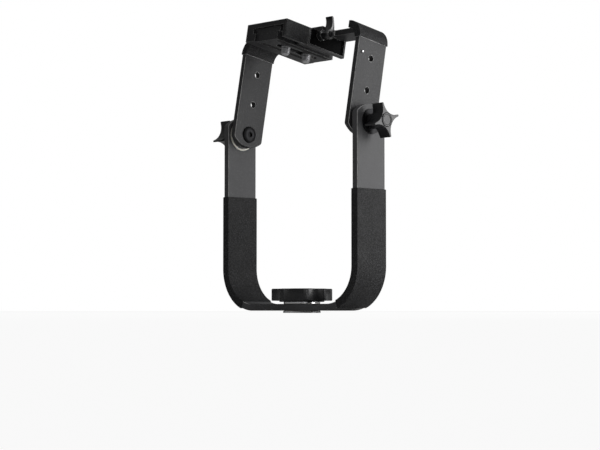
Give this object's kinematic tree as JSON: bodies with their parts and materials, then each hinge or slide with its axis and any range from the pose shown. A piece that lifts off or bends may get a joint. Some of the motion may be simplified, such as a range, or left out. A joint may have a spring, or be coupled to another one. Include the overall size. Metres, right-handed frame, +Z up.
{
  "type": "gimbal tripod head",
  "caption": "Side-arm gimbal head: a U yoke that pans on a spindle and a tilting cradle with a hanging quick-release clamp.",
  "frame": {"origin": "centre of the spindle's mounting face, at the mouth of the tripod thread", "axes": "+Z up the pan axis, +X along the tilt pivots towards the lever side, +Y the way the lens points"},
  "size_m": [0.2542, 0.0925, 0.3124],
  "materials": {
    "black_paint": "satin black paint",
    "cover": "crinkled black cover",
    "knob_plastic": "moulded black nylon",
    "lever_paint": "black painted casting",
    "turned_metal": "turned and clear anodised",
    "steel": "zinc plated",
    "black_steel": "blackened",
    "brass": "turned",
    "nylon": "natural nylon",
    "pad_rubber": "ribbed rubber"
  },
  "bodies": {
    "mount": {"mount_spindle": "turned_metal", "lower_friction_washer": "nylon", "upper_friction_washer": "nylon", "pan_washer": "steel"},
    "yoke": {"yoke_bar": "black_paint", "base_bushing": "nylon", "yoke_cover_right": "cover", "yoke_cover_left": "cover", "pivot_bushing_right": "nylon", "pivot_bushing_left": "nylon", "pivot_friction_washer_right": "nylon", "pivot_friction_washer_left": "nylon", "tilt_washer_right": "black_steel", "tilt_washer_left": "black_steel"},
    "pan_knob": {"pan_knob": "knob_plastic", "pan_knob_insert": "brass", "pan_knob_cap": "knob_plastic"},
    "cradle": {"cradle_bar": "black_paint", "corner_cover_right": "cover", "corner_cover_left": "cover", "arm_rivets": "steel", "clamp_body": "black_paint", "clamp_skin_right": "cover", "clamp_skin_left": "cover", "clamp_screws": "black_steel", "lever_washer": "steel", "pivot_bolt_right": "black_steel", "pivot_bolt_left": "black_steel", "pivot_spacer_right": "black_paint", "pivot_spacer_left": "black_paint"},
    "star_knob_right": {"star_knob_right": "knob_plastic", "star_knob_insert_right": "brass", "star_knob_cap_right": "knob_plastic"},
    "star_knob_left": {"star_knob_left": "knob_plastic", "star_knob_insert_left": "brass", "star_knob_cap_left": "knob_plastic"},
    "jaw": {"clamp_jaw": "black_steel"},
    "lever": {"clamp_lever": "lever_paint", "lever_shaft": "steel", "lever_screw": "black_steel"},
    "plate": {"slide_plate": "black_paint", "plate_pads": "pad_rubber"},
    "lens_screw_front": {"lens_screw_front": "steel"},
    "lens_screw_rear": {"lens_screw_rear": "steel"}
  },
  "joints": [
    {"name": "pan", "type": "hinge", "parent": "mount", "child": "yoke", "pos_m": [0, 0, 0.0059], "axis": [0, 0, 1], "continuous": true},
    {"name": "pan_knob_turn", "type": "hinge", "parent": "mount", "child": "pan_knob", "pos_m": [0, 0, 0.0186], "axis": [0, 0, 1], "continuous": true},
    {"name": "cradle_tilt", "type": "hinge", "parent": "yoke", "child": "cradle", "pos_m": [0, 0, 0.196], "axis": [1, 0, 0], "continuous": true},
    {"name": "star_knob_right_turn", "type": "hinge", "parent": "cradle", "child": "star_knob_right", "pos_m": [0.115, 0, 0.196], "axis": [1, 0, 0], "continuous": true},
    {"name": "star_knob_left_turn", "type": "hinge", "parent": "cradle", "child": "star_knob_left", "pos_m": [-0.115, 0, 0.196], "axis": [1, 0, 0], "continuous": true},
    {"name": "lever_turn", "type": "hinge", "parent": "cradle", "child": "lever", "pos_m": [0.039, 0.00037, 0.2931], "axis": [1, 0, 0], "range_deg": [0, 95]},
    {"name": "jaw_slide", "type": "slide", "parent": "cradle", "child": "jaw", "axis": [1, 0, 0], "range_m": [0, 0.003]},
    {"name": "plate_slide", "type": "slide", "parent": "cradle", "child": "plate", "axis": [0, 0.9839, -0.1788], "range_m": [-0.03, 0.03]},
    {"name": "lens_screw_front_turn", "type": "hinge", "parent": "plate", "child": "lens_screw_front", "pos_m": [0, -0.02319, 0.28092], "axis": [0, -0.1788, -0.9839], "continuous": true},
    {"name": "lens_screw_rear_turn", "type": "hinge", "parent": "plate", "child": "lens_screw_rear", "pos_m": [0, 0.00633, 0.27555], "axis": [0, -0.1788, -0.9839], "continuous": true}
  ],
  "couplings": [
    {"joint": "lever_turn", "follows": "jaw_slide", "rad_per_m": 552.6}
  ]
}
